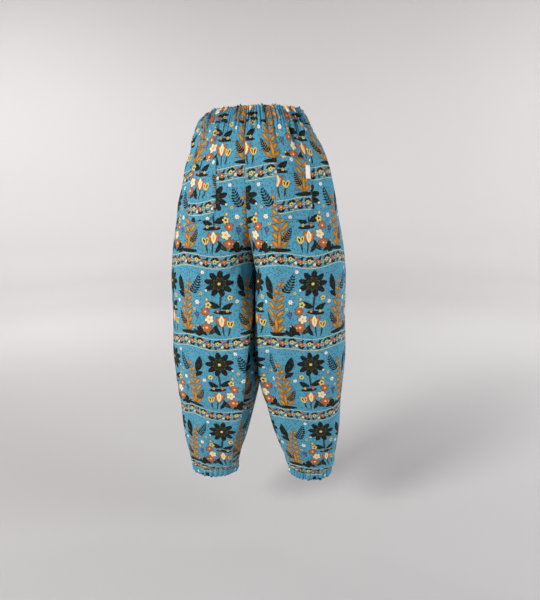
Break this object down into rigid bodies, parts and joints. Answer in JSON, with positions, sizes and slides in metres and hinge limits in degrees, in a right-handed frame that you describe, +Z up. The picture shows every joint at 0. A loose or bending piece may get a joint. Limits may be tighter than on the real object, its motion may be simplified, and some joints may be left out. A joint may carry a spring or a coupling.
{
  "type": "barrel leg trousers",
  "caption": "Wide barrel leg trousers with a gathered elastic waist, two back patch pockets and narrow elastic hems, hollow as worn.",
  "frame": {"origin": "centre of the waist opening, level with the upper edge of the waistband, where the wearer's waist holds it", "axes": "+Z up along the wearer, +Y the way the wearer faces, so the seat and its pockets face -Y, and +X the wearer's right"},
  "size_m": [0.4405, 0.2575, 0.92],
  "materials": {
    "printed_cotton": "matte woven cotton with a print on teal",
    "waistband_cotton": "matte woven cotton, gathered on elastic",
    "hem_cotton": "matte woven cotton casing",
    "pocket_cotton": "matte woven cotton with a print on teal",
    "white_tape": "white woven tape, bare"
  },
  "bodies": {
    "root": {"waistband": "waistband_cotton", "back_left": "printed_cotton", "back_right": "printed_cotton", "front_left": "printed_cotton", "front_right": "printed_cotton", "hem_left": "hem_cotton", "hem_right": "hem_cotton", "pocket_left": "pocket_cotton", "pocket_right": "pocket_cotton", "pocket_tab": "white_tape"}
  },
  "joints": []
}
